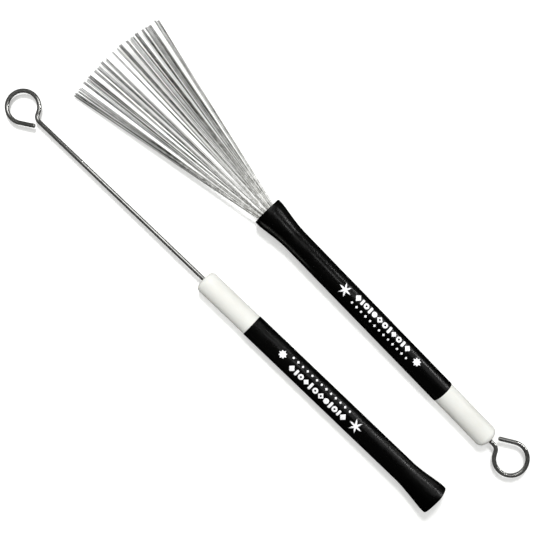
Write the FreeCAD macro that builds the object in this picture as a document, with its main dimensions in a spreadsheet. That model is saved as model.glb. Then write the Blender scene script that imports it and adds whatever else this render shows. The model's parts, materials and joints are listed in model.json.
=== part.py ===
import FreeCAD, Part
import math
import os
import re

import Sketcher

# A pair of retractable wire drum brushes lying side by side, heads to opposite ends.
# Brush "a" is pushed open, with its wires fanned out of the mouth of the grip.
# Brush "b" is pulled shut, with its wires drawn into the tube and its rod standing out.
#
# Each brush is drawn in its own frame: local +X runs along its axis from the mouth of the
# grip (0) to the butt end, local +Z is up, and the sliding parts are drawn pushed open.
# The pair's frame has +X along the brushes, +Z up, and its origin on the table surface
# under the middle of the pair.

DRIVING = (
    # alias, millimetres or degrees
    ("handle_length", 179.0),
    ("sleeve_length", 141.8),
    ("sleeve_diameter", 13.8),
    ("mouth_diameter", 18.2),
    ("mouth_rim_length", 3.5),
    ("flare_length", 24.0),
    ("mouth_bore", 14.8),
    ("mouth_depth", 11.5),
    ("rim_fillet", 0.6),
    ("cap_diameter", 13.4),
    ("cap_end_wall", 2.2),
    ("cap_end_fillet", 3.0),
    ("cap_hole", 3.4),
    ("tube_diameter", 11.0),
    ("tube_bore", 9.6),
    ("tube_end_chamfer", 0.2),
    ("bead_width", 2.0),
    ("bead_depth", 0.4),
    ("travel", 124.4),
    ("running_gap", 0.06),
    ("stop_gap", 0.2),
    ("rod_diameter", 2.4),
    ("rod_end_fillet", 0.8),
    ("neck_stand_off", 4.4),
    ("bend_radius", 4.0),
    ("ferrule_front", 12.6),
    ("ferrule_length", 12.0),
    ("ferrule_diameter", 6.8),
    ("ferrule_bore", 5.8),
    ("ferrule_cup_depth", 5.0),
    ("crimp_width", 1.4),
    ("crimp_depth", 0.3),
    ("binder_length", 4.0),
    ("slug_length", 8.0),
    ("slug_groove_width", 2.0),
    ("slug_groove_depth", 1.6),
    ("ring_section", 1.6),
    ("collar_length", 3.0),
    ("collar_diameter", 6.0),
    ("edge_break", 0.3),
    ("wire_diameter", 0.38),
    ("wire_length", 136.5),
    ("wire_pitch", 0.46),
    ("wire_root_gap", 0.05),
    ("tuft_pitch", 0.95),
    ("low_row_rise", -3.0),
    ("mid_row_rise", -1.0),
    ("top_row_rise", 0.9),
)

# Sideways lean of each tuft from the brush axis, in degrees, from one edge of the fan to
# the other.  Three neighbours share one column of roots, one tuft in each row.
TUFT_LEANS = (
    -12.6, -11.0, -9.2,
    -7.6, -5.7, -4.1,
    -2.6, -0.9, 1.1,
    2.6, 4.3, 5.9,
    7.9, 9.9, 11.7,
)
ROWS = ("low", "mid", "top")
COLUMNS = len(TUFT_LEANS) // len(ROWS)

# Where each brush lies, how far its slide stands from the open end, and its hand-bent eye.
BRUSHES = {
    "a": {
        "mouth_xy": (-28.38, 16.96),
        "yaw": -1.13,
        "pulled_out": 0.0,
        "eye_radius": 9.5,
        "eye_offset": 1.3,
        "tail_length": 9.5,
        "tail_offset": 4.3,
    },
    "b": {
        "mouth_xy": (152.53, -32.12),
        "yaw": 181.02,
        "pulled_out": 1.0,
        "eye_radius": 9.2,
        "eye_offset": 0.2,
        "tail_length": 9.0,
        "tail_offset": 3.3,
    },
}

doc = FreeCAD.newDocument("wire_brush_pair")


def make_sheet():
    """The driving dimensions, one named cell each."""
    sheet = doc.addObject("Spreadsheet::Sheet", "dims")
    for row, (alias, value) in enumerate(DRIVING, start=1):
        sheet.set(f"A{row}", alias)
        sheet.set(f"B{row}", str(value))
        sheet.setAlias(f"B{row}", alias)
    doc.recompute()
    return sheet


sheet = make_sheet()


def size(expression):
    """A length worked out from the sheet's cells."""
    return float(sheet.evalExpression(expression))


# ---------------------------------------------------------------- places of the brushes


def resting_tilt():
    """Lean of the handle as it lies on the rim of its mouth and on the edge of its cap."""
    drop = (size("mouth_diameter") - size("cap_diameter")) / 2
    span = size("handle_length") - size("cap_end_fillet") - size("rim_fillet")
    return math.degrees(math.atan2(drop, span))


def brush_placement(brush, slide=0.0):
    """Local frame of a brush in the pair's frame, moved along its axis by slide."""
    spec = BRUSHES[brush]
    tilt = resting_tilt()
    turn = FreeCAD.Rotation(spec["yaw"], tilt, 0)
    rim_radius = size("mouth_diameter") / 2
    rim_back = size("rim_fillet") * math.sin(math.radians(tilt))
    height = rim_radius * math.cos(math.radians(tilt)) + rim_back
    mouth = FreeCAD.Vector(*spec["mouth_xy"], height)
    return FreeCAD.Placement(mouth, turn) * FreeCAD.Placement(
        FreeCAD.Vector(slide, 0, 0), FreeCAD.Rotation()
    )


def slider_placement(brush):
    """Local frame of the parts that slide with the rod."""
    return brush_placement(brush, BRUSHES[brush]["pulled_out"] * size("travel"))


# ---------------------------------------------------------------- sketch helpers


def new_body(name, brush, placement):
    body = doc.addObject("PartDesign::Body", f"{name}_{brush}")
    body.Label = f"{name}_{brush}"
    body.Placement = placement
    return body


def new_sketch(body, name, plane):
    sketch = body.newObject("Sketcher::SketchObject", f"{body.Name}_{name}")
    origin_plane = next(f for f in body.Origin.OriginFeatures if f.Role == plane)
    sketch.AttachmentSupport = [(origin_plane, "")]
    sketch.MapMode = "FlatFace"
    return sketch


def constrain(sketch, constraint, expression=None):
    index = sketch.addConstraint(Sketcher.Constraint(*constraint))
    if expression is not None:
        sketch.setExpression(f"Constraints[{index}]", expression)
    return index


def cell(expression):
    """The expression with each cell name pointed at the sheet."""
    return re.sub(r"[a-z_]+", r"dims.\g<0>", expression)


def pin_point(sketch, edge, end, along, radius):
    """Holds one end of an edge at (along, radius), both given as sheet expressions."""
    if size(along) == 0:
        constrain(sketch, ("PointOnObject", edge, end, -2))
    else:
        value = size(along)
        constrain(sketch, ("DistanceX", -1, 1, edge, end, value), cell(along))
    if size(radius) == 0:
        constrain(sketch, ("PointOnObject", edge, end, -1))
    else:
        value = size(radius)
        constrain(sketch, ("DistanceY", -1, 1, edge, end, value), cell(radius))


def turned_sketch(body, name, outline, arc_at=None):
    """Closed outline in (distance along the axis, radius), as sheet expressions.

    arc_at numbers the one edge that is an arc, tangent to the edge after it.
    """
    sketch = new_sketch(body, name, "XY_Plane")
    points = [FreeCAD.Vector(size(x), size(r), 0) for x, r in outline]
    count = len(points)
    for edge, start in enumerate(points):
        end = points[(edge + 1) % count]
        if edge == arc_at:
            sketch.addGeometry(tangent_arc(start, end))
        else:
            sketch.addGeometry(Part.LineSegment(start, end))
    for edge in range(count):
        after = (edge + 1) % count
        joined = "Tangent" if edge == arc_at else "Coincident"
        constrain(sketch, (joined, edge, 2, after, 1))
    for edge, (along, radius) in enumerate(outline):
        pin_point(sketch, edge, 1, along, radius)
    return sketch


def tangent_arc(start, end):
    """Arc from start down to end that meets the axis direction at end."""
    drop = start.y - end.y
    run = end.x - start.x
    radius = (run * run + drop * drop) / (2 * drop)
    centre = FreeCAD.Vector(end.x, end.y + radius, 0)
    spread = math.asin(run / radius)
    circle = Part.Circle(centre, FreeCAD.Vector(0, 0, 1), radius)
    return Part.ArcOfCircle(circle, -math.pi / 2 - spread, -math.pi / 2)


def turned(body, name, outline, arc_at=None):
    """Solid of revolution about the brush axis."""
    sketch = turned_sketch(body, name, outline, arc_at)
    feature = body.newObject("PartDesign::Revolution", f"{body.Name}_{name}_turned")
    feature.Profile = sketch
    feature.ReferenceAxis = (sketch, ["H_Axis"])
    feature.Angle = 360
    doc.recompute()
    return feature


def grooved(body, name, outline):
    """Ring cut out of a turned piece; the piece has to lose volume."""
    before = body.Shape.Volume
    sketch = turned_sketch(body, name, outline)
    feature = body.newObject("PartDesign::Groove", f"{body.Name}_{name}_groove")
    feature.Profile = sketch
    feature.ReferenceAxis = (sketch, ["H_Axis"])
    feature.Angle = 360
    doc.recompute()
    if body.Shape.Volume >= before:
        raise RuntimeError(f"{feature.Name} cuts nothing")
    return feature


def round_edges_at(feature, along, radius, fillet):
    """Names of the round edges of a feature that stand at a place on the axis."""
    found = []
    for number, edge in enumerate(feature.Shape.Edges, start=1):
        curve = edge.Curve
        if not hasattr(curve, "Radius"):
            continue
        here = abs(curve.Center.x - along) < 0.01 and abs(curve.Radius - radius) < 0.01
        if here and edge.isClosed():
            found.append(f"Edge{number}")
    if not found:
        raise RuntimeError(f"no round edge for the {fillet} of {feature.Name}")
    return found


def filleted(body, base, along, radius, cell_name):
    """Rounds one round edge of a turned piece by the radius in a cell."""
    fillet = body.newObject("PartDesign::Fillet", f"{body.Name}_{cell_name}")
    fillet.Base = (base, round_edges_at(base, along, radius, cell_name))
    fillet.setExpression("Radius", f"dims.{cell_name}")
    doc.recompute()
    return fillet


# Stations along the axis with the brush pushed open, each measured from the one before.
FERRULE_BACK = "(ferrule_front + ferrule_length)"
ROD_FRONT = "(ferrule_front + ferrule_cup_depth)"
SLUG_FRONT = f"({FERRULE_BACK} + stop_gap)"
SLUG_BACK = f"({SLUG_FRONT} + slug_length)"
COLLAR_FRONT = f"({SLUG_BACK} + stop_gap)"
COLLAR_BACK = f"({COLLAR_FRONT} + collar_length)"
NECK = "(handle_length + neck_stand_off)"


# ---------------------------------------------------------------- handle


def handle_tube(brush):
    """Thin metal tube through the whole handle; a rolled-in bead near its front stops the slug."""
    body = new_body("handle_tube", brush, brush_placement(brush))
    front = "mouth_depth"
    back = "handle_length - cap_end_wall"
    bead_back = f"{SLUG_FRONT} - stop_gap"
    bead_front = f"{bead_back} - bead_width"
    turned(
        body,
        "wall",
        (
            (f"{front} + tube_end_chamfer", "tube_bore / 2"),
            (bead_front, "tube_bore / 2"),
            (f"{bead_front} + bead_depth", "tube_bore / 2 - bead_depth"),
            (f"{bead_back} - bead_depth", "tube_bore / 2 - bead_depth"),
            (bead_back, "tube_bore / 2"),
            (f"{back} - tube_end_chamfer", "tube_bore / 2"),
            (back, "tube_bore / 2 + tube_end_chamfer"),
            (back, "tube_diameter / 2"),
            (bead_back, "tube_diameter / 2"),
            (f"{bead_back} - bead_depth", "tube_diameter / 2 - bead_depth"),
            (f"{bead_front} + bead_depth", "tube_diameter / 2 - bead_depth"),
            (bead_front, "tube_diameter / 2"),
            (front, "tube_diameter / 2"),
            (front, "tube_bore / 2 + tube_end_chamfer"),
        ),
    )
    return body


def grip_sleeve(brush):
    """Soft black sleeve on the tube, flared like a trumpet at the mouth."""
    body = new_body("grip_sleeve", brush, brush_placement(brush))
    wall = turned(
        body,
        "wall",
        (
            ("0", "mouth_bore / 2"),
            ("0", "mouth_diameter / 2"),
            ("mouth_rim_length", "mouth_diameter / 2"),
            ("flare_length", "sleeve_diameter / 2"),
            ("sleeve_length", "sleeve_diameter / 2"),
            ("sleeve_length", "tube_diameter / 2"),
            ("mouth_depth", "tube_diameter / 2"),
        ),
        arc_at=2,
    )
    rim = filleted(body, wall, 0, size("mouth_diameter / 2"), "rim_fillet")
    filleted(body, rim, size("sleeve_length"), size("sleeve_diameter / 2"), "edge_break")
    return body


def end_cap(brush):
    """Off-white cap on the butt end of the tube, closed but for the hole of the rod."""
    body = new_body("end_cap", brush, brush_placement(brush))
    wall = turned(
        body,
        "wall",
        (
            ("sleeve_length", "cap_diameter / 2"),
            ("handle_length", "cap_diameter / 2"),
            ("handle_length", "cap_hole / 2"),
            ("handle_length - cap_end_wall", "cap_hole / 2"),
            ("handle_length - cap_end_wall", "tube_diameter / 2"),
            ("sleeve_length", "tube_diameter / 2"),
        ),
    )
    end = filleted(body, wall, size("handle_length"), size("cap_diameter / 2"), "cap_end_fillet")
    filleted(body, end, size("sleeve_length"), size("cap_diameter / 2"), "edge_break")
    return body


def guide_bush(brush):
    """Bush pressed into the butt end of the tube; it guides the rod and stops the collar."""
    body = new_body("guide_bush", brush, brush_placement(brush))
    front = f"{COLLAR_BACK} + travel + stop_gap"
    back = "handle_length - cap_end_wall"
    hole = "rod_diameter / 2 + running_gap"
    turned(
        body,
        "wall",
        (
            (front, f"{hole} + edge_break"),
            (front, "tube_bore / 2 - edge_break"),
            (f"{front} + edge_break", "tube_bore / 2"),
            (f"{back} - edge_break", "tube_bore / 2"),
            (back, "tube_bore / 2 - edge_break"),
            (back, f"{hole} + edge_break"),
            (f"{back} - edge_break", hole),
            (f"{front} + edge_break", hole),
        ),
    )
    return body


# ---------------------------------------------------------------- slide


def pull_rod(brush):
    """Steel rod, bent at its outer end into an open eye that is the pull ring."""
    spec = BRUSHES[brush]
    body = new_body("pull_rod", brush, slider_placement(brush))
    path = rod_path(body, spec)
    section = new_sketch(body, "section", "YZ_Plane")
    section.AttachmentOffset = FreeCAD.Placement(
        FreeCAD.Vector(0, 0, size(ROD_FRONT)), FreeCAD.Rotation()
    )
    radius = size("rod_diameter / 2")
    centre = FreeCAD.Vector(0, 0, 0)
    section.addGeometry(Part.Circle(centre, FreeCAD.Vector(0, 0, 1), radius))
    constrain(section, ("Coincident", 0, 3, -1, 1))
    constrain(section, ("Radius", 0, radius), cell("rod_diameter / 2"))
    doc.recompute()
    pipe = body.newObject("PartDesign::AdditivePipe", f"{body.Name}_pipe")
    pipe.Profile = section
    pipe.Spine = path
    doc.recompute()
    cut_end = [
        f"Edge{number}"
        for number, edge in enumerate(pipe.Shape.Edges, start=1)
        if abs(edge.CenterOfMass.y - spec["tail_offset"]) < 0.01 and edge.isClosed()
    ]
    fillet = body.newObject("PartDesign::Fillet", f"{body.Name}_tail_end")
    fillet.Base = (pipe, cut_end[:1])
    fillet.setExpression("Radius", "dims.rod_end_fillet")
    doc.recompute()
    return body


def rod_path(body, spec):
    """Centre line of the rod: straight shank, bend to one side, round eye, straight tail."""
    bend = size("bend_radius")
    eye = spec["eye_radius"]
    offset = spec["eye_offset"]
    neck = size(NECK)
    turn = math.acos((bend + offset) / (bend + eye))
    bend_centre = FreeCAD.Vector(neck, -bend, 0)
    eye_centre = FreeCAD.Vector(neck + (bend + eye) * math.sin(turn), offset, 0)
    leave = tail_leave_angle(spec)
    leave_point = eye_centre + FreeCAD.Vector(eye * math.cos(leave), eye * math.sin(leave), 0)
    heading = FreeCAD.Vector(-math.sin(leave), math.cos(leave), 0)
    tail_end = leave_point + heading * spec["tail_length"]
    start = FreeCAD.Vector(size(ROD_FRONT), 0, 0)
    normal = FreeCAD.Vector(0, 0, 1)

    sketch = new_sketch(body, "path", "XY_Plane")
    shank, crook, ring, tail = range(4)
    sketch.addGeometry(Part.LineSegment(start, FreeCAD.Vector(neck, 0, 0)))
    crook_circle = Part.Circle(bend_centre, normal, bend)
    sketch.addGeometry(Part.ArcOfCircle(crook_circle, math.pi / 2 - turn, math.pi / 2))
    ring_circle = Part.Circle(eye_centre, normal, eye)
    sketch.addGeometry(Part.ArcOfCircle(ring_circle, 1.5 * math.pi - turn, leave + 2 * math.pi))
    sketch.addGeometry(Part.LineSegment(leave_point, tail_end))

    pin_point(sketch, shank, 1, ROD_FRONT, "0")
    pin_point(sketch, shank, 2, NECK, "0")
    constrain(sketch, ("Tangent", shank, 2, crook, 2))
    constrain(sketch, ("Radius", crook, bend), "dims.bend_radius")
    constrain(sketch, ("Tangent", crook, 1, ring, 1))
    constrain(sketch, ("Radius", ring, eye))
    constrain(sketch, ("DistanceY", -1, 1, ring, 3, offset))
    constrain(sketch, ("Tangent", ring, 2, tail, 1))
    constrain(sketch, ("Distance", tail, spec["tail_length"]))
    constrain(sketch, ("DistanceY", -1, 1, tail, 2, spec["tail_offset"]))
    doc.recompute()
    return sketch


def tail_leave_angle(spec):
    """Angle on the eye where a tangent of the tail's length ends at the tail's offset."""
    low, high = math.radians(90), math.radians(150)

    def miss(angle):
        side = spec["eye_offset"] + spec["eye_radius"] * math.sin(angle)
        return side + spec["tail_length"] * math.cos(angle) - spec["tail_offset"]

    for _ in range(60):
        middle = (low + high) / 2
        if miss(middle) > 0:
            low = middle
        else:
            high = middle
    return low


def ferrule(brush):
    """Crimped metal cup: pressed on the rod at the back, holding the wires at the front."""
    body = new_body("ferrule", brush, slider_placement(brush))
    turned(
        body,
        "wall",
        (
            ("ferrule_front", "ferrule_bore / 2"),
            ("ferrule_front", "ferrule_diameter / 2 - edge_break"),
            ("ferrule_front + edge_break", "ferrule_diameter / 2"),
            (f"{FERRULE_BACK} - edge_break", "ferrule_diameter / 2"),
            (FERRULE_BACK, "ferrule_diameter / 2 - edge_break"),
            (FERRULE_BACK, "rod_diameter / 2"),
            (ROD_FRONT, "rod_diameter / 2"),
            (ROD_FRONT, "ferrule_bore / 2"),
        ),
    )
    for number, middle in enumerate(("ferrule_length / 2", "ferrule_length * 3 / 4")):
        start = f"ferrule_front + {middle} - crimp_width / 2"
        grooved(
            body,
            f"crimp_{number}",
            (
                (start, "ferrule_diameter / 2 + edge_break"),
                (f"{start} + crimp_width", "ferrule_diameter / 2 + edge_break"),
                (f"{start} + crimp_width * 3 / 4", "ferrule_diameter / 2 - crimp_depth"),
                (f"{start} + crimp_width / 4", "ferrule_diameter / 2 - crimp_depth"),
            ),
        )
    return body


def wire_binder(brush):
    """Solder plug in the cup of the ferrule, which the roots of the wires are set in."""
    body = new_body("wire_binder", brush, slider_placement(brush))
    turned(
        body,
        "plug",
        (
            ("ferrule_front", "0"),
            ("ferrule_front", "ferrule_bore / 2"),
            ("ferrule_front + binder_length", "ferrule_bore / 2"),
            ("ferrule_front + binder_length", "0"),
        ),
    )
    return body


def guide_slug(brush):
    """Nylon slug that slides in the tube; the rod turns in its hole."""
    body = new_body("guide_slug", brush, slider_placement(brush))
    hole = "rod_diameter / 2 + running_gap"
    outside = "tube_bore / 2 - running_gap"
    turned(
        body,
        "wall",
        (
            (SLUG_FRONT, hole),
            (SLUG_FRONT, f"{outside} - edge_break"),
            (f"{SLUG_FRONT} + edge_break", outside),
            (f"{SLUG_BACK} - edge_break", outside),
            (SLUG_BACK, f"{outside} - edge_break"),
            (SLUG_BACK, hole),
        ),
    )
    start = f"{SLUG_FRONT} + slug_length / 2 - slug_groove_width / 2"
    grooved(
        body,
        "ring_seat",
        (
            (start, f"{outside} - slug_groove_depth"),
            (start, f"{outside} + edge_break"),
            (f"{start} + slug_groove_width", f"{outside} + edge_break"),
            (f"{start} + slug_groove_width", f"{outside} - slug_groove_depth"),
        ),
    )
    return body


def friction_ring(brush):
    """Rubber ring in the groove of the slug; its drag keeps the rod where it is put."""
    ring = doc.addObject("Part::Torus", f"friction_ring_{brush}")
    ring.Label = f"friction_ring_{brush}"
    section = "dims.ring_section / 2"
    bore = "dims.tube_bore / 2 - dims.running_gap / 2"
    ring.setExpression("Radius2", section)
    ring.setExpression("Radius1", f"{bore} - {section}")
    middle = size(f"{SLUG_FRONT} + slug_length / 2")
    across = FreeCAD.Rotation(FreeCAD.Vector(0, 1, 0), 90)
    seat = FreeCAD.Placement(FreeCAD.Vector(middle, 0, 0), across)
    ring.Placement = slider_placement(brush) * seat
    return ring


def stop_collar(brush):
    """Steel collar fixed on the rod behind the slug; it meets the bush when pulled shut."""
    body = new_body("stop_collar", brush, slider_placement(brush))
    turned(
        body,
        "wall",
        (
            (COLLAR_FRONT, "rod_diameter / 2"),
            (COLLAR_FRONT, "collar_diameter / 2 - edge_break"),
            (f"{COLLAR_FRONT} + edge_break", "collar_diameter / 2"),
            (f"{COLLAR_BACK} - edge_break", "collar_diameter / 2"),
            (COLLAR_BACK, "collar_diameter / 2 - edge_break"),
            (COLLAR_BACK, "rod_diameter / 2"),
        ),
    )
    return body


# ---------------------------------------------------------------- wires


def tuft_root(number):
    """Middle of a tuft's roots on the face of the ferrule, in the brush's local frame."""
    column, row = divmod(number, len(ROWS))
    side = (column - (COLUMNS - 1) / 2) * size("tuft_pitch")
    rise = (row - (len(ROWS) - 1) / 2) * size("tuft_pitch")
    front = size("ferrule_front") - size("wire_root_gap")
    return FreeCAD.Vector(front, side, rise)


def tuft_direction(number):
    """Direction of a tuft when the brush is open, pointing away from the handle."""
    lean = math.radians(TUFT_LEANS[number])
    rise = math.radians(size(f"{ROWS[number % len(ROWS)]}_row_rise"))
    forward = -math.cos(lean) * math.cos(rise)
    sideways = math.sin(lean) * math.cos(rise)
    return FreeCAD.Vector(forward, sideways, math.sin(rise))


def wire_tuft(brush, number):
    """Four straight spring-steel wires side by side."""
    shut = BRUSHES[brush]["pulled_out"] > 0
    along = FreeCAD.Vector(-1, 0, 0) if shut else tuft_direction(number)
    turn = FreeCAD.Rotation(FreeCAD.Vector(-1, 0, 0), along)
    wires = []
    for corner, (side, rise) in enumerate(((-1, -1), (1, -1), (1, 1), (-1, 1)), start=1):
        name = f"wire_{brush}_{number + 1:02d}_{corner}"
        wire = doc.addObject("Part::Cylinder", name)
        wire.setExpression("Radius", "dims.wire_diameter / 2")
        wire.setExpression("Height", "dims.wire_length")
        place = FreeCAD.Vector(0, side, rise) * (size("wire_pitch") / 2)
        lying = FreeCAD.Rotation(FreeCAD.Vector(0, 0, 1), FreeCAD.Vector(-1, 0, 0))
        wire.Placement = FreeCAD.Placement(turn.multVec(place), turn * lying)
        wires.append(wire)
    tuft = doc.addObject("Part::Compound", f"wire_tuft_{brush}_{number + 1:02d}")
    tuft.Label = tuft.Name
    tuft.Links = wires
    root = FreeCAD.Placement(tuft_root(number), FreeCAD.Rotation())
    tuft.Placement = slider_placement(brush) * root
    return tuft


# ---------------------------------------------------------------- the pair

PIECES = (
    handle_tube,
    grip_sleeve,
    end_cap,
    guide_bush,
    pull_rod,
    ferrule,
    wire_binder,
    guide_slug,
    friction_ring,
    stop_collar,
)


def check(nodes):
    """Stops the script if any object failed or any sub-part is not a sound solid."""
    for thing in doc.Objects:
        if "Invalid" in thing.State or "Error" in thing.State:
            raise RuntimeError(f"{thing.Name} failed: {thing.State}")
    for node in nodes:
        if node.Shape.isNull() or not node.Shape.isValid() or not node.Shape.Solids:
            raise RuntimeError(f"{node.Label} has no valid solid")


def main():
    nodes = []
    for brush in BRUSHES:
        nodes += [make(brush) for make in PIECES]
        nodes += [wire_tuft(brush, number) for number in range(len(TUFT_LEANS))]
    doc.recompute()
    check(nodes)
    os.makedirs("parts", exist_ok=True)
    for node in nodes:
        node.Shape.exportStep(f"parts/{node.Label}.step")


main()
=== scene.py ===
import json
import math
import random

import bmesh
import bpy
from mathutils import Matrix, Quaternion, Vector, noise
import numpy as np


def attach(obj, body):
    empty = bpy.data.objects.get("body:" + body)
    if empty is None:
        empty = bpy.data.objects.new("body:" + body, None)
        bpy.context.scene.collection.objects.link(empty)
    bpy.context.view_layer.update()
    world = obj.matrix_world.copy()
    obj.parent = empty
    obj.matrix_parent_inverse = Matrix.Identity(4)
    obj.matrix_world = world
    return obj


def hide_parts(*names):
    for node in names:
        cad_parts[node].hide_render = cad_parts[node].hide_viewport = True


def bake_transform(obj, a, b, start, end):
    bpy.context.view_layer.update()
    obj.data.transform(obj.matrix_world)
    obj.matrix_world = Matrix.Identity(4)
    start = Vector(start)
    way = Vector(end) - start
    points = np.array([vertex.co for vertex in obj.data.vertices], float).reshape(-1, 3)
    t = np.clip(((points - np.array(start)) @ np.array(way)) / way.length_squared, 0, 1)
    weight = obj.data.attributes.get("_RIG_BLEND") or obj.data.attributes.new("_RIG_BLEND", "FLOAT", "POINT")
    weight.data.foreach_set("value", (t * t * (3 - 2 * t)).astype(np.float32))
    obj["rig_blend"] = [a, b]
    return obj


# A pair of retractable wire drum brushes on a pale surface. The rods, handles and inner
# works are the CAD pieces. The wires, the grips and their printed ornament are modelled here.
# At rest brush a is open and brush b shut. Values that differ between them are given by key.

MM = 0.001
SEED = 11

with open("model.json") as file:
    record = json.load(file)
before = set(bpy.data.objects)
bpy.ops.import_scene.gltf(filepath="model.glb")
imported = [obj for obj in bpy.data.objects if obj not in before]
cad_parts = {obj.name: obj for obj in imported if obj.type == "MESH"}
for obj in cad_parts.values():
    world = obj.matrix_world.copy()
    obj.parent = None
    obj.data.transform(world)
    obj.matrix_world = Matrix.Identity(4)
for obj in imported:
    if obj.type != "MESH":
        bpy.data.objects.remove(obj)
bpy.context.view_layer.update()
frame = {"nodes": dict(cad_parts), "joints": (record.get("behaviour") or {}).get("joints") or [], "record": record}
joints = {joint["name"]: joint for joint in frame["joints"]}
random.seed(SEED)


class Brush:
    """One brush as the frame tells it: its axis, its mouth and its butt end."""

    def __init__(self, key, opened):
        self.key = key
        self.opened = opened
        turn = joints[f"rod_turn_{key}"]
        self.axis = Vector(turn["axis"]).normalized()
        self.on_axis = Vector(turn["pos_m"])
        self.rise = (Vector((0, 0, 1)) - self.axis * self.axis.z).normalized()
        self.side = self.rise.cross(self.axis)
        self.mouth = self.end_of(f"grip_sleeve_{key}", min)
        self.butt = self.end_of(f"end_cap_{key}", max)

    def station(self, point):
        """Distance along the axis from the point on the axis that the frame gives."""
        return (Vector(point) - self.on_axis).dot(self.axis)

    def end_of(self, node, choose):
        """Station of the first or last vertex of a CAD node."""
        return choose(self.station(v.co) for v in frame["nodes"][node].data.vertices)

    def at(self, station, radius=0.0, angle=0.0):
        """Point at a station, a radius and an angle round the axis, 0 being the top."""
        out = self.rise * math.cos(angle) + self.side * math.sin(angle)
        return self.on_axis + self.axis * station + out * radius


BRUSHES = (Brush("a", True), Brush("b", False))


# ---------------------------------------------------------------- materials

# Sockets of a Mix node that mixes colours, where several share a name.
MIX_FIRST = 6
MIX_LAST = 7
MIX_RESULT = 2

# Attributes of the wires: how far along its wire a point is, from root to tip, and how
# much lighter or darker than the others its wire is.
WIRE_SHARE = "wire_share"
WIRE_SHADE = "wire_shade"

# Share of a wire at which the painted glare by the mouth starts to fade and at which it has fully given way to the
# darker colour of the tips.
GLARE_FADE_START = 0.12
GLARE_FADE_END = 0.60


def grey(value):
    return (value, value, value, 1)


def new_material(name):
    """An empty node material: (material, its nodes, its links, its Principled shader)."""
    material = bpy.data.materials.new(name)
    material.use_nodes = True
    tree = material.node_tree
    return material, tree.nodes, tree.links, tree.nodes["Principled BSDF"]


def noise_texture(nodes, links, scale, detail=4.0, roughness=0.55, stretch=None):
    """Noise in object space, its scale multiplied by stretch on each axis."""
    place = nodes.new("ShaderNodeTexCoord")
    texture = nodes.new("ShaderNodeTexNoise")
    texture.inputs["Scale"].default_value = scale
    texture.inputs["Detail"].default_value = detail
    texture.inputs["Roughness"].default_value = roughness
    source = place.outputs["Object"]
    if stretch is not None:
        mapping = nodes.new("ShaderNodeMapping")
        mapping.inputs["Scale"].default_value = stretch
        links.new(source, mapping.inputs["Vector"])
        source = mapping.outputs["Vector"]
    links.new(source, texture.inputs["Vector"])
    return texture.outputs["Fac"]


def ramp(nodes, links, source, low, high, first, last):
    """Source mapped from low..high to a colour or value between first and last."""
    node = nodes.new("ShaderNodeValToRGB")
    node.color_ramp.elements[0].position = low
    node.color_ramp.elements[1].position = high
    node.color_ramp.elements[0].color = first if len(first) == 4 else (*first, 1)
    node.color_ramp.elements[1].color = last if len(last) == 4 else (*last, 1)
    links.new(source, node.inputs["Fac"])
    return node.outputs["Color"]


def mixed(nodes, links, factor, first, last):
    """Colour mixed by factor from first to last, each a plain colour or a node's output."""
    node = nodes.new("ShaderNodeMix")
    node.data_type = "RGBA"
    links.new(factor, node.inputs["Factor"])
    for socket, colour in ((MIX_FIRST, first), (MIX_LAST, last)):
        if isinstance(colour, tuple):
            node.inputs[socket].default_value = colour
        else:
            links.new(colour, node.inputs[socket])
    return node.outputs[MIX_RESULT]


def bump(nodes, links, shader, height, distance, strength):
    """Small relief of a height pattern, its distance in metres."""
    node = nodes.new("ShaderNodeBump")
    node.inputs["Distance"].default_value = distance
    node.inputs["Strength"].default_value = strength
    links.new(height, node.inputs["Height"])
    links.new(node.outputs["Normal"], shader.inputs["Normal"])


def black_rubber(name, rough_low, rough_high):
    """Black rubber with wiped marks along it, specks of dust and a fine skin."""
    material, nodes, links, shader = new_material(name)
    smears = noise_texture(nodes, links, scale=70, stretch=(0.3, 1, 1))
    colour = ramp(nodes, links, smears, 0.35, 0.75, (0.0006, 0.0006, 0.0006), (0.0024, 0.0024, 0.0022))
    dust = noise_texture(nodes, links, scale=2600, detail=2)
    specks = ramp(nodes, links, dust, 0.70, 0.78, grey(0), grey(0.35))
    dusted = mixed(nodes, links, specks, colour, (0.02, 0.02, 0.018, 1))
    links.new(dusted, shader.inputs["Base Color"])
    wipes = noise_texture(nodes, links, scale=260, detail=6, roughness=0.65, stretch=(0.45, 1, 1))
    rough = ramp(nodes, links, wipes, 0.34, 0.68, grey(rough_low), grey(rough_high))
    links.new(rough, shader.inputs["Roughness"])
    shader.inputs["Specular IOR Level"].default_value = 0.42
    skin_grain = noise_texture(nodes, links, scale=620, detail=4)
    bump(nodes, links, shader, skin_grain, distance=0.00003, strength=0.5)
    return material


def white_vinyl():
    """Off-white vinyl, faintly yellowed in patches, with a satin grain and a few scuffs."""
    material, nodes, links, shader = new_material("white_vinyl")
    tone = noise_texture(nodes, links, scale=60)
    colour = ramp(nodes, links, tone, 0.3, 0.7, (0.705, 0.705, 0.66), (0.755, 0.76, 0.725))
    scuffs = noise_texture(nodes, links, scale=240, detail=8, roughness=0.7, stretch=(0.25, 1, 1))
    marks = ramp(nodes, links, scuffs, 0.66, 0.74, grey(0), grey(0.35))
    worn = mixed(nodes, links, marks, colour, (0.56, 0.54, 0.47, 1))
    links.new(worn, shader.inputs["Base Color"])
    grain = noise_texture(nodes, links, scale=900, detail=5)
    rough = ramp(nodes, links, grain, 0.3, 0.7, grey(0.34), grey(0.48))
    links.new(rough, shader.inputs["Roughness"])
    shader.inputs["Specular IOR Level"].default_value = 0.4
    shader.inputs["Subsurface Weight"].default_value = 0.12
    shader.inputs["Subsurface Radius"].default_value = (0.0012, 0.0010, 0.0008)
    shader.inputs["Subsurface Scale"].default_value = 1.0
    bump(nodes, links, shader, grain, distance=0.00002, strength=0.5)
    return material


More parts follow.
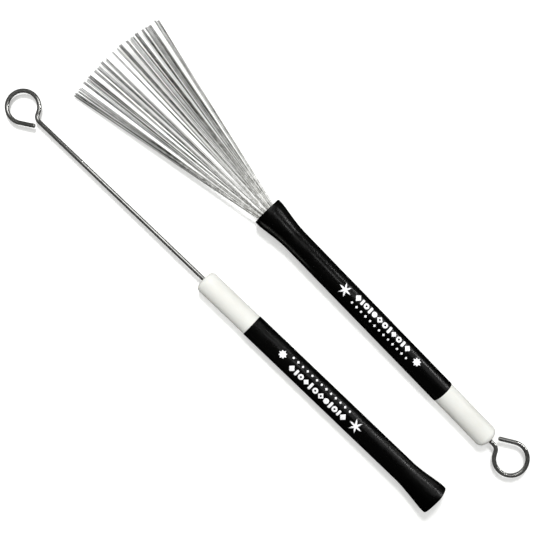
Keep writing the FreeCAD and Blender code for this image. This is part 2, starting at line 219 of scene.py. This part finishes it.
def drawn_metal(name, dark, light, rough_low, rough_high, edge=0.4, metallic=1.0):
    """Bright metal with fine drawing marks along the brush and a little tarnish."""
    material, nodes, links, shader = new_material(name)
    shader.inputs["Metallic"].default_value = metallic
    shader.inputs["Specular Tint"].default_value = grey(edge)
    tone = noise_texture(nodes, links, scale=150, detail=5)
    links.new(ramp(nodes, links, tone, 0.32, 0.68, dark, light), shader.inputs["Base Color"])
    marks = noise_texture(nodes, links, scale=2500, detail=5, stretch=(0.06, 1, 1))
    rough = ramp(nodes, links, marks, 0.3, 0.7, grey(rough_low), grey(rough_high))
    links.new(rough, shader.inputs["Roughness"])
    bump(nodes, links, shader, marks, distance=0.00001, strength=0.35)
    return material


def wire_steel():
    """Spring steel, painted near-white and nearly matt by the mouth as a painted glare, and darker towards the
    tips.
    """
    material, nodes, links, shader = new_material("wire_steel")
    along = nodes.new("ShaderNodeAttribute")
    along.attribute_name = WIRE_SHARE
    share = along.outputs["Fac"]
    shade = nodes.new("ShaderNodeAttribute")
    shade.attribute_name = WIRE_SHADE
    shaded = nodes.new("ShaderNodeMath")
    shaded.operation = "ADD"
    links.new(noise_texture(nodes, links, scale=380, detail=5), shaded.inputs[0])
    links.new(shade.outputs["Fac"], shaded.inputs[1])
    tone = shaded.outputs["Value"]
    # Painted glare: near the mouth the wires get a near-white, mostly non-metallic colour that stands in for the
    # strong light on them; towards the tips they are darker.
    near = ramp(nodes, links, tone, 0.36, 0.60, (0.52, 0.52, 0.49), (0.97, 0.97, 0.95))
    far = ramp(nodes, links, tone, 0.36, 0.60, (0.015, 0.015, 0.012), (0.36, 0.36, 0.33))
    # Along each wire the painted glare fades from the mouth towards the tips.
    glare_fade = ramp(nodes, links, share, GLARE_FADE_START, GLARE_FADE_END, grey(0), grey(1))
    links.new(mixed(nodes, links, glare_fade, near, far), shader.inputs["Base Color"])
    metallic = ramp(nodes, links, share, GLARE_FADE_START, GLARE_FADE_END, grey(0.10), grey(0.70))
    links.new(metallic, shader.inputs["Metallic"])
    shader.inputs["Specular Tint"].default_value = grey(0.2)
    marks = noise_texture(nodes, links, scale=1800, detail=5, stretch=(0.06, 1, 1))
    links.new(ramp(nodes, links, marks, 0.3, 0.7, grey(0.16), grey(0.34)), shader.inputs["Roughness"])
    bump(nodes, links, shader, marks, distance=0.00001, strength=0.35)
    return material


def nylon():
    """Cream nylon with faint turning marks."""
    material, nodes, links, shader = new_material("white_nylon")
    tone = noise_texture(nodes, links, scale=300)
    colour = ramp(nodes, links, tone, 0.3, 0.7, (0.70, 0.68, 0.60), (0.80, 0.79, 0.74))
    links.new(colour, shader.inputs["Base Color"])
    marks = noise_texture(nodes, links, scale=1500, stretch=(1, 0.2, 0.2))
    rough = ramp(nodes, links, marks, 0.3, 0.7, grey(0.4), grey(0.55))
    links.new(rough, shader.inputs["Roughness"])
    bump(nodes, links, shader, marks, distance=0.00001, strength=0.5)
    return material


def ring_rubber():
    """Dull dark rubber with a fine grain."""
    material, nodes, links, shader = new_material("ring_rubber")
    grain = noise_texture(nodes, links, scale=1800)
    colour = ramp(nodes, links, grain, 0.3, 0.7, (0.012, 0.012, 0.012), (0.03, 0.03, 0.03))
    links.new(colour, shader.inputs["Base Color"])
    rough = ramp(nodes, links, grain, 0.3, 0.7, grey(0.45), grey(0.6))
    links.new(rough, shader.inputs["Roughness"])
    bump(nodes, links, shader, grain, distance=0.00001, strength=0.5)
    return material


def white_ink():
    """White printing ink, thin in places so that the rubber greys it."""
    material, nodes, links, shader = new_material("white_ink")
    wear = noise_texture(nodes, links, scale=1500, detail=6, roughness=0.6)
    colour = ramp(nodes, links, wear, 0.30, 0.46, (0.42, 0.43, 0.46), (0.90, 0.90, 0.91))
    links.new(colour, shader.inputs["Base Color"])
    rough = ramp(nodes, links, wear, 0.3, 0.7, grey(0.35), grey(0.5))
    links.new(rough, shader.inputs["Roughness"])
    bump(nodes, links, shader, wear, distance=0.00001, strength=0.4)
    return material


def floor_paper():
    """Pale matt paper, faintly lit from below like a light table."""
    material, nodes, links, shader = new_material("floor_paper")
    tone = noise_texture(nodes, links, scale=6)
    colour = ramp(nodes, links, tone, 0.3, 0.7, (0.685, 0.69, 0.68), (0.70, 0.705, 0.695))
    links.new(colour, shader.inputs["Base Color"])
    shader.inputs["Roughness"].default_value = 0.8
    shader.inputs["Specular IOR Level"].default_value = 0.1
    shader.inputs["Emission Color"].default_value = (1.0, 1.0, 0.985, 1)
    shader.inputs["Emission Strength"].default_value = 0.38
    return material


MATERIALS = {
    "black_rubber": black_rubber("black_rubber", 0.20, 0.34),
    "dull_rubber": black_rubber("dull_rubber", 0.24, 0.40),
    "white_vinyl": white_vinyl(),
    "tube_aluminium": drawn_metal(
        "tube_aluminium", (0.58, 0.59, 0.61), (0.72, 0.73, 0.75), 0.26, 0.40
    ),
    "rod_steel": drawn_metal(
        "rod_steel", (0.50, 0.50, 0.48), (0.78, 0.78, 0.75), 0.14, 0.24, edge=0.04, metallic=0.92
    ),
    "ferrule_metal": drawn_metal(
        "ferrule_metal", (0.40, 0.39, 0.36), (0.54, 0.53, 0.50), 0.3, 0.45
    ),
    "solder": drawn_metal("solder", (0.34, 0.34, 0.34), (0.5, 0.5, 0.5), 0.4, 0.6),
    "wire_steel": wire_steel(),
    "white_nylon": nylon(),
    "ring_rubber": ring_rubber(),
    "white_ink": white_ink(),
    "floor_paper": floor_paper(),
}


def finish_cad_nodes():
    """Gives every CAD node the procedural material of its slot."""
    for entry in frame["record"]["subparts"]:
        mesh = frame["nodes"][entry["node"]].data
        mesh.materials.clear()
        mesh.materials.append(MATERIALS[entry["material_slot"]])


def mesh_piece(name, mesh_data, material, smooth=True):
    """A new object of that name in the scene, which takes over and frees the mesh data."""
    mesh = bpy.data.meshes.new(name)
    mesh_data.to_mesh(mesh)
    mesh_data.free()
    for polygon in mesh.polygons:
        polygon.use_smooth = smooth
    mesh.materials.append(MATERIALS[material])
    piece = bpy.data.objects.new(name, mesh)
    bpy.context.scene.collection.objects.link(piece)
    return piece


def skin(mesh_data, first, second):
    """Faces between two closed rings of equally many vertices."""
    for step in range(len(first)):
        after = (step + 1) % len(first)
        mesh_data.faces.new((first[step], second[step], second[after], first[after]))


# ---------------------------------------------------------------- grips

# A sleeve in millimetres, the distances measured from its mouth.
SLEEVE_RADIUS = 6.9
SLEEVE_LENGTH = 141.8
MOUTH_RADIUS = 9.1
RIM_LENGTH = 3.5
FLARE_LENGTH = 24.0
FLARE_FULLNESS = 0.8
RIM_ROUND = 0.6
EDGE_ROUND = 0.3

# Its bore: a cone from the mouth to the tube, with a broken edge at the mouth.
BORE_RADIUS = 5.5
MOUTH_BORE_RADIUS = 7.4
MOUTH_DEPTH = 11.5
BORE_EDGE_WIDENING = 0.3
BORE_EDGE_FRONT = 0.12
BORE_EDGE_BACK = 0.45

# How finely it is divided: sides round it, steps in its rounded edges, length of a step.
SLEEVE_SIDES = 112
RIM_STEPS = 6
EDGE_STEPS = 4
SLEEVE_STEP = 1.0

# Ripple of the rubber: depth everywhere and more in the flare, in millimetres, and two
# layers of noise, each with a scale round the sleeve and a scale along it.
RIPPLE_DEPTH = 0.03
FLARE_RIPPLE_DEPTH = {"a": 0.07, "b": 0.16}
RIPPLE_SEED = {"a": 3.0, "b": 17.0}
COARSE_RIPPLE = (1.1, 0.085)
FINE_RIPPLE = (3.0, 0.3)
FINE_RIPPLE_SHARE = 0.3

# Unevenness of the rim in millimetres: a wave round it, and a sag at the top of brush b's.
RIM_WAVE = {"a": 0.10, "b": 0.22}
RIM_WAVE_PHASE = 0.7
RIM_SAG = {"a": 0.0, "b": 0.7}
RIM_SAG_TAPER = 1.5
RIM_SAG_LENGTH = 6.0

GRIP_MATERIAL = {"a": "black_rubber", "b": "dull_rubber"}


def flare_radius(distance):
    """Outer radius of the sleeve: a straight rim, a curve in from it, then straight."""
    share = (distance - RIM_LENGTH) / (FLARE_LENGTH - RIM_LENGTH)
    share = min(max(share, 0.0), 1.0)
    curve = (1 - share) ** 2 * (1 + FLARE_FULLNESS * share)
    return SLEEVE_RADIUS + (MOUTH_RADIUS - SLEEVE_RADIUS) * curve


def ripple_layer(brush, distance, angle, scales):
    """Noise over the surface of a sleeve, from about -1 to 1."""
    round_it, along_it = scales
    height = distance * along_it + RIPPLE_SEED[brush.key]
    return noise.noise(Vector((math.cos(angle) * round_it, math.sin(angle) * round_it, height)))


def ripple(brush, distance, angle):
    """Unevenness of the soft rubber, in millimetres, strongest in the flare."""
    in_flare = max(0.0, 1 - distance / FLARE_LENGTH)
    depth = RIPPLE_DEPTH + FLARE_RIPPLE_DEPTH[brush.key] * in_flare
    coarse = ripple_layer(brush, distance, angle, COARSE_RIPPLE)
    fine = ripple_layer(brush, distance, angle, FINE_RIPPLE)
    return coarse * depth + fine * depth * FINE_RIPPLE_SHARE


def sleeve_outer(brush, distance, angle):
    """Outer radius of a sleeve at a place, in millimetres."""
    return flare_radius(distance) + ripple(brush, distance, angle)


def sleeve_outline():
    """(distance, offset from the outer surface, negative inwards) along a sleeve."""
    outline = []
    for step in range(RIM_STEPS + 1):
        turn = math.pi / 2 * step / RIM_STEPS
        inward = RIM_ROUND * (1 - math.sin(turn))
        outline.append((RIM_ROUND * (1 - math.cos(turn)), -inward))
    distance = RIM_ROUND
    while distance < SLEEVE_LENGTH - EDGE_ROUND - SLEEVE_STEP:
        distance += SLEEVE_STEP
        outline.append((distance, 0.0))
    for step in range(EDGE_STEPS + 1):
        turn = math.pi / 2 * step / EDGE_STEPS
        back = SLEEVE_LENGTH - EDGE_ROUND * (1 - math.sin(turn))
        outline.append((back, -EDGE_ROUND * (1 - math.cos(turn))))
    return outline


def rim_set_back(brush, distance, angle):
    """How far the soft rim stands back from a flat mouth, in millimetres."""
    wave = RIM_WAVE[brush.key] * abs(math.sin(2 * angle + RIM_WAVE_PHASE))
    sag = RIM_SAG[brush.key] * max(0.0, math.cos(angle)) ** RIM_SAG_TAPER
    return (wave + sag) * max(0.0, 1 - distance / RIM_SAG_LENGTH)


def sleeve_ring(mesh_data, brush, distance, offset=0.0, radius=None):
    """A ring of vertices of a given radius, or else at an offset from the outer surface."""
    ring = []
    for step in range(SLEEVE_SIDES):
        angle = 2 * math.pi * step / SLEEVE_SIDES
        if radius is None:
            reach = sleeve_outer(brush, distance, angle) + offset
        else:
            reach = radius
        place = brush.mouth + (distance + rim_set_back(brush, distance, angle)) * MM
        ring.append(mesh_data.verts.new(brush.at(place, reach * MM, angle)))
    return ring


def grip_sleeve(brush):
    """The soft flared sleeve, a little uneven, with its open mouth and its bore."""
    bore = (
        (SLEEVE_LENGTH, BORE_RADIUS),
        (MOUTH_DEPTH, BORE_RADIUS),
        (BORE_EDGE_BACK, MOUTH_BORE_RADIUS),
        (BORE_EDGE_FRONT, MOUTH_BORE_RADIUS + BORE_EDGE_WIDENING),
    )
    mesh_data = bmesh.new()
    rings = [sleeve_ring(mesh_data, brush, place, offset=offset) for place, offset in sleeve_outline()]
    rings += [sleeve_ring(mesh_data, brush, place, radius=radius) for place, radius in bore]
    for first, second in zip(rings, rings[1:] + rings[:1]):
        skin(mesh_data, first, second)
    bmesh.ops.recalc_face_normals(mesh_data, faces=mesh_data.faces)
    piece = mesh_piece(f"grip_{brush.key}", mesh_data, GRIP_MATERIAL[brush.key])
    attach(piece, "handles")
    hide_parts(f"grip_sleeve_{brush.key}")


# ---------------------------------------------------------------- ornament printed on the grips

# Half the thickness of the ink film in millimetres, its divisions round a shape and from
# its middle outwards, and the share of a solid shape that is left as its middle face.
INK_THICKNESS = 0.04
INK_STEPS = 36
INK_RINGS = 5
INK_CENTRE = 0.02

BAR_SQUARENESS = 6
STAR_TAPER = 1.6


# An outline gives the reach of a shape, in millimetres, for each turn about its middle.


def diamond(half_length, half_width):
    return lambda turn: 1 / (abs(math.cos(turn)) / half_length + abs(math.sin(turn)) / half_width)


def bar(half_length, half_width):
    def reach(turn):
        along = abs(math.cos(turn)) / half_length
        across = abs(math.sin(turn)) / half_width
        return 1 / (along**BAR_SQUARENESS + across**BAR_SQUARENESS) ** (1 / BAR_SQUARENESS)

    return reach


def disc(half_length, half_width):
    return lambda turn: 1 / math.hypot(math.cos(turn) / half_length, math.sin(turn) / half_width)


def star(points, outer, inner):
    def reach(turn):
        share = abs(((turn * points / math.pi) % 2) - 1)
        return inner + (outer - inner) * share**STAR_TAPER

    return reach


# The big row along a grip: each shape's outline and the share of it that is left empty,
# where the row starts, and the distances between the middles of its shapes.
BIG_ROW = (
    (diamond(2.0, 2.35), 0.0),
    (bar(0.75, 1.8), 0.0),
    (disc(1.7, 1.75), 0.34),
    (bar(0.8, 2.1), 0.0),
    (disc(1.65, 1.7), 0.0),
    (diamond(2.0, 2.1), 0.36),
    (disc(1.7, 1.75), 0.34),
    (bar(0.8, 2.25), 0.0),
    (diamond(1.8, 1.9), 0.0),
    (disc(1.7, 1.75), 0.34),
    (bar(0.8, 1.9), 0.0),
    (diamond(1.95, 2.2), 0.0),
)
BIG_ROW_START = 70.3
BIG_ROW_GAPS = (3.3, 3.1, 3.2, 3.2, 4.1, 4.2, 3.6, 3.4, 4.0, 3.4, 3.5)

# The small row: two shapes in turn.
SMALL_ROW = (disc(0.62, 0.7), diamond(0.85, 0.95))
SMALL_ROW_START = 69.5
SMALL_ROW_LENGTH = 43.0
SMALL_MARKS = 13

# The stars at the ends of the rows: outline and distance from the mouth.
BACK_STAR = star(8, 2.75, 1.7)
BACK_STAR_PLACE = 118.3
FRONT_STAR = star(6, 4.3, 1.1)
FRONT_STAR_PLACE = 61.8

# How far to the side each stands: big row, small row, back star, front star.
ORNAMENT_SIDES = {"a": (2.5, -1.9, 0.9, 0.3), "b": (1.6, -3.3, -0.6, 0.4)}


def ornament(brush):
    """Generic printed marks: a row of large shapes, a row of small ones and two stars."""
    mesh_data = bmesh.new()
    big_side, small_side, back_side, front_side = ORNAMENT_SIDES[brush.key]
    distance = BIG_ROW_START
    for (outline, hollow), gap in zip(BIG_ROW, (*BIG_ROW_GAPS, 0)):
        ink_mark(mesh_data, brush, distance, big_side, outline, hollow)
        distance += gap
    for number in range(SMALL_MARKS):
        outline = SMALL_ROW[number % len(SMALL_ROW)]
        place = SMALL_ROW_START + SMALL_ROW_LENGTH * number / (SMALL_MARKS - 1)
        ink_mark(mesh_data, brush, place, small_side, outline)
    ink_mark(mesh_data, brush, BACK_STAR_PLACE, back_side, BACK_STAR)
    ink_mark(mesh_data, brush, FRONT_STAR_PLACE, front_side, FRONT_STAR)
    piece = mesh_piece(f"ornament_{brush.key}", mesh_data, "white_ink")
    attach(piece, "handles")


def ink_mark(mesh_data, brush, distance, sideways, outline, hollow=0.0):
    """One printed shape as a thin film that follows the sleeve's surface.

    sideways is how far its middle stands to the side as seen from above, and hollow the
    share of the shape that is left empty.
    """
    middle = math.asin(sideways / SLEEVE_RADIUS)
    shares = [hollow + (1 - hollow) * step / INK_RINGS for step in range(INK_RINGS + 1)]
    if hollow == 0:
        shares[0] = INK_CENTRE
    rings = []
    film = [(share, INK_THICKNESS) for share in shares]
    film += [(share, -INK_THICKNESS) for share in reversed(shares)]
    for share, lift in film:
        ring = []
        for step in range(INK_STEPS):
            turn = 2 * math.pi * step / INK_STEPS
            reach = outline(turn) * share
            along = distance + reach * math.cos(turn)
            angle = middle + reach * math.sin(turn) / SLEEVE_RADIUS
            radius = sleeve_outer(brush, along, angle) + lift
            place = brush.mouth + along * MM
            ring.append(mesh_data.verts.new(brush.at(place, radius * MM, angle)))
        rings.append(ring)
    for first, second in zip(rings, rings[1:]):
        skin(mesh_data, first, second)
    if hollow > 0:
        skin(mesh_data, rings[-1], rings[0])
    else:
        mesh_data.faces.new(rings[0][::-1])
        mesh_data.faces.new(rings[-1])


# ---------------------------------------------------------------- wires

WIRE_RADIUS = 0.2 * MM
WIRE_SIDES = 8
WIRE_STEPS = 20

# At the ferrule the wires of a tuft stand in two columns: the distance between the columns,
# and the distance between the levels as a share of it.
WIRE_PITCH = 0.44 * MM
LEVEL_SHARE = 0.8

# The open fan: its lines meet at a point this far behind the mouth, and its wires end on an
# arc about it, the reach of which differs a little between the low, middle and top row of
# tufts and falls off to one edge. The edge is in degrees.
FAN_APEX = 21.5 * MM
FAN_REACHES = (147.5 * MM, 145.5 * MM, 144.0 * MM)
FAN_EDGE = 12.3
FAN_SLANT = 1.2 * MM

# Wires on one edge of the fan leave the mouth further out than a straight line would, but
# no further than the bore of the tube leaves room for once they are drawn in.
BULGE = 0.95 * MM
BULGE_RISE = 8.0 * MM

# Length from the ferrule over which the wires bend as the mouth gathers them.
BEND_LENGTH = 15.0 * MM

# Chance differences between the wires: lowest and highest rise of a tip in millimetres,
# least and greatest share of the full length, most bow to the side in millimetres, and
# most that the shade differs.
TIP_RISE = (-0.6, 0.2)
CUT = (0.994, 1.002)
BOW = 0.3
SHADE_SPREAD = 0.14

# The shut brush's wires lie nearly side by side: the share of their differences in angle
# within a tuft that is left.
SHUT_SPLAY = 0.5

# Degrees to the side, about the fan's apex, of each wire's tip, one list for each tuft from
# one edge of the fan to the other.
FAN = (
    (-12.75, -12.55, -12.35, -12.15, -11.95),
    (-11.6, -11.4, -11.05, -10.8, -10.5),
    (-9.5, -9.3, -9.1, -8.7, -8.4, -8.15),
    (-7.6, -7.4, -7.2, -7.0),
    (-5.95, -5.75, -5.5),
    (-5.1, -4.9, -4.65, -4.4),
    (-3.45, -3.2, -3.0),
    (-2.4, -2.15, -1.95),
    (-0.25, 0.0, 1.0, 1.25),
    (2.05, 2.25, 2.45, 2.65),
    (3.75, 3.95, 4.15, 4.65),
    (4.85, 5.1, 5.4, 5.6, 6.2, 6.4),
    (6.6, 6.8, 7.0, 8.1, 8.3, 8.5),
    (9.0, 9.2, 9.45, 9.7, 9.95, 10.15, 10.35),
    (11.45, 11.65, 11.95, 12.15, 12.35),
)


def wire_bar(mesh_data, path, shade):
    """One round wire along a path of points, with flat ends."""
    share_of = mesh_data.verts.layers.float[WIRE_SHARE]
    shade_of = mesh_data.verts.layers.float[WIRE_SHADE]
    rings = []
    for index, point in enumerate(path):
        before = path[max(index - 1, 0)]
        after = path[min(index + 1, len(path) - 1)]
        along = (after - before).normalized()
        across = along.cross(Vector((0, 0, 1))).normalized()
        above = across.cross(along)
        ring = []
        for step in range(WIRE_SIDES):
            angle = 2 * math.pi * step / WIRE_SIDES
            offset = across * math.cos(angle) + above * math.sin(angle)
            vertex = mesh_data.verts.new(point + offset * WIRE_RADIUS)
            vertex[share_of] = index / (len(path) - 1)
            vertex[shade_of] = shade
            ring.append(vertex)
        rings.append(ring)
    for first, second in zip(rings, rings[1:]):
        for step in range(WIRE_SIDES):
            after = (step + 1) % WIRE_SIDES
            mesh_data.faces.new((first[step], first[after], second[after], second[step]))
    mesh_data.faces.new(rings[0][::-1])
    mesh_data.faces.new(rings[-1])


class Tuft:
    """Where the CAD wires of one tuft start, which way they point and how long they are."""

    def __init__(self, brush, number):
        joint = joints[f"tuft_spread_{brush.key}_{number:02d}"]
        self.brush = brush
        self.number = number
        self.root = Vector(joint["pos_m"])
        self.ahead = -brush.axis
        self.direction = self.ahead
        if brush.opened:
            spread = math.radians(joint["range_deg"][1])
            self.direction = Quaternion(Vector(joint["axis"]), -spread) @ self.ahead
        vertices = frame["nodes"][f"wire_tuft_{brush.key}_{number:02d}"].data.vertices
        self.length = max((v.co - self.root).length for v in vertices)


def wire_tuft(brush, number, tips):
    """The wires of one tuft, held at the ferrule and free to splay with the slide."""
    tuft = Tuft(brush, number)
    root = tuft.root
    middle_angle = sum(tips) / len(tips)
    places = list(range(len(tips)))
    random.shuffle(places)
    mesh_data = bmesh.new()
    mesh_data.verts.layers.float.new(WIRE_SHARE)
    mesh_data.verts.layers.float.new(WIRE_SHADE)
    for place, tip_angle in zip(places, tips):
        side = (place % 2 - 0.5) * WIRE_PITCH
        level = (place // 2 - (len(tips) - 1) // 2 / 2) * WIRE_PITCH * LEVEL_SHARE
        start = root + brush.side * side + brush.rise * level
        path = wire_path(tuft, start, tip_angle, middle_angle)
        wire_bar(mesh_data, path, random.uniform(-SHADE_SPREAD, SHADE_SPREAD))
    piece = mesh_piece(f"wires_{brush.key}_{number:02d}", mesh_data, "wire_steel")
    bend_end = root + tuft.direction * BEND_LENGTH
    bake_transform(piece, f"rod_{brush.key}", f"tuft_{brush.key}_{number:02d}", start=root, end=bend_end)
    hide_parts(f"wire_tuft_{brush.key}_{number:02d}")


def wire_path(tuft, start, tip_angle, middle_angle):
    """Points along one wire of a tuft, from its start at the ferrule to its tip."""
    brush = tuft.brush
    rise = random.uniform(*TIP_RISE) * MM
    if brush.opened:
        tip = fan_tip(tuft, tip_angle)
        bulge = -BULGE * (1 - tip_angle / FAN_EDGE)
    else:
        spare = math.radians(tip_angle - middle_angle) * SHUT_SPLAY
        tip = tuft.root + (tuft.ahead + brush.side * math.tan(spare)) * tuft.length
        bulge = 0.0
    tip += brush.rise * rise
    reach = tip - start
    cut = random.uniform(*CUT)
    reach *= cut if brush.opened else cut * tuft.length / reach.length
    bow = random.uniform(-BOW, BOW) * MM
    path = []
    for step in range(WIRE_STEPS + 1):
        share = step / WIRE_STEPS
        rising = 1 - math.exp(-share * reach.length / BULGE_RISE)
        curve = bow * math.sin(math.pi * share) + bulge * rising * (1 - share)
        path.append(start + reach * share + brush.side * curve)
    return path


def fan_tip(tuft, tip_angle):
    """Point on the arc of the open fan, at the height to which the CAD wires reach."""
    brush = tuft.brush
    turn = math.radians(tip_angle)
    reach = FAN_REACHES[(tuft.number - 1) % len(FAN_REACHES)]
    reach -= FAN_SLANT * tip_angle / FAN_EDGE
    along = brush.mouth + FAN_APEX - reach * math.cos(turn)
    height = (tuft.root + tuft.direction * tuft.length - brush.on_axis).dot(brush.rise)
    return brush.at(along) + brush.side * reach * math.sin(turn) + brush.rise * height


# ---------------------------------------------------------------- stage

# The stage is in metres. The floor is a square of twice this reach.
FLOOR_REACH = 12.0

# The view is from straight above, turned so that the brushes lie across it.
VIEW_ROLL = math.radians(44.7)
VIEW_CENTRE = Vector((-6.5, -5.4, 7.5)) * MM
VIEW_DISTANCE = 485 * MM
VIEW_WIDTH = 299.4 * MM
SENSOR_MM = 36.0
NEAREST = 0.01

# The key lamp stands this far past the top of the view, and this high.
KEY_REACH = 0.62
KEY_HEIGHT = 1.11
FILL_HEIGHT = 1.6

# The sheen strip stands this far off, so many degrees down from straight above towards the
# open brush's side, and is moved this far along the brushes.
SHEEN_REACH = 0.9
SHEEN_TURN = 66
SHEEN_SHIFT = 0.42

# What the other shine lamps are turned to: stations behind the mouth or the butt.
OPEN_FLARE_STATION = 13 * MM
SHUT_FLARE_STATION = 6 * MM
ROD_STATION = 113 * MM


def stage():
    """Pale floor, and a pale background that is seen but lights nothing."""
    floor_data = bmesh.new()
    bmesh.ops.create_grid(floor_data, x_segments=2, y_segments=2, size=FLOOR_REACH)
    floor = mesh_piece("floor", floor_data, "floor_paper", smooth=False)
    floor.visible_glossy = False

    world = bpy.data.worlds.new("studio")
    bpy.context.scene.world = world
    world.use_nodes = True
    background = world.node_tree.nodes["Background"]
    background.inputs["Color"].default_value = (1.0, 1.0, 0.96, 1)
    background.inputs["Strength"].default_value = 0.8
    world.cycles_visibility.diffuse = False
    world.cycles_visibility.glossy = False


def camera():
    """The camera above the brushes, at the photograph's angle."""
    data = bpy.data.cameras.new("camera")
    data.sensor_width = SENSOR_MM
    data.lens = SENSOR_MM * VIEW_DISTANCE / VIEW_WIDTH
    data.clip_start = NEAREST
    camera_object = bpy.data.objects.new("camera", data)
    camera_object.location = VIEW_CENTRE + Vector((0, 0, VIEW_DISTANCE))
    camera_object.rotation_euler = (0, 0, VIEW_ROLL)
    bpy.context.scene.collection.objects.link(camera_object)
    bpy.context.scene.camera = camera_object


def area_light(name, place, target, size, power, length=None, along=None):
    """A round lamp, or a strip of a given length that lies along a direction."""
    data = bpy.data.lights.new(name, "AREA")
    data.energy = power
    data.size = size
    data.shape = "DISK"
    light = bpy.data.objects.new(name, data)
    light.location = place
    away = (Vector(place) - Vector(target)).normalized()
    if length is None:
        light.rotation_euler = away.to_track_quat("Z", "Y").to_euler()
    else:
        data.shape = "RECTANGLE"
        data.size_y = length
        long_way = (along - away * along.dot(away)).normalized()
        short_way = long_way.cross(away)
        columns = Matrix((short_way, long_way, away)).transposed()
        light.rotation_euler = columns.to_euler()
    bpy.context.scene.collection.objects.link(light)
    return light


def soft_only(name, place, target, size, power):
    """A lamp that isn't seen in shiny surfaces."""
    lamp = area_light(name, place, target, size, power)
    lamp.visible_glossy = False


def shine_only(name, place, target, size, power, length=None, along=None):
    """A lamp that only shiny surfaces answer to, for the sheen on rubber and steel."""
    lamp = area_light(name, place, target, size, power, length, along)
    lamp.visible_diffuse = False
    lamp.visible_camera = False


def lights():
    """Soft key and fill for the shapes, and lamps for the sheen of rubber and steel."""
    up = Vector((-math.sin(VIEW_ROLL), math.cos(VIEW_ROLL), 0))
    over_view = up * KEY_REACH + Vector((0, 0, KEY_HEIGHT))
    soft_only("key", over_view, VIEW_CENTRE, size=0.26, power=15.0)
    soft_only("fill", (0, 0, FILL_HEIGHT), VIEW_CENTRE, size=1.6, power=16.0)

    opened, shut = BRUSHES
    flat_axis = Vector((opened.axis.x, opened.axis.y, 0)).normalized()
    flat_side = Vector((opened.side.x, opened.side.y, 0)).normalized()

    def over(along, aside, height):
        return flat_axis * along + flat_side * aside + Vector((0, 0, height))

    open_flare = opened.at(opened.mouth + OPEN_FLARE_STATION)
    over_open = over(along=0.087, aside=0.150, height=0.350)
    shine_only("glint_open_flare", open_flare + over_open, open_flare, size=0.06, power=0.045)

    shut_flare = shut.at(shut.mouth + SHUT_FLARE_STATION)
    over_shut = over(along=0.0, aside=0.212, height=0.212)
    shine_only("glint_shut_flare", shut_flare + over_shut, shut_flare, size=0.16, power=0.03)

    rod = shut.at(shut.butt + ROD_STATION)
    over_rod = over(along=0.0, aside=0.200, height=0.280)
    panel = {"size": 0.28, "power": 0.25, "length": 0.17, "along": opened.axis}
    shine_only("panel_rod", rod + over_rod, rod, **panel)

    turn = math.radians(SHEEN_TURN)
    shift = flat_axis * SHEEN_SHIFT
    sideways = flat_side * SHEEN_REACH * math.sin(turn)
    place = shift + sideways + Vector((0, 0, SHEEN_REACH * math.cos(turn)))
    strip = {"size": 0.05, "power": 1.75, "length": 0.6, "along": opened.axis}
    shine_only("sheen", VIEW_CENTRE + place, VIEW_CENTRE + shift, **strip)


def main():
    finish_cad_nodes()
    for brush in BRUSHES:
        grip_sleeve(brush)
        ornament(brush)
        for number, tips in enumerate(FAN, start=1):
            wire_tuft(brush, number, tips)
    stage()
    camera()
    lights()
    bpy.context.scene.view_settings.view_transform = "Standard"
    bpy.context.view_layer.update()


main()
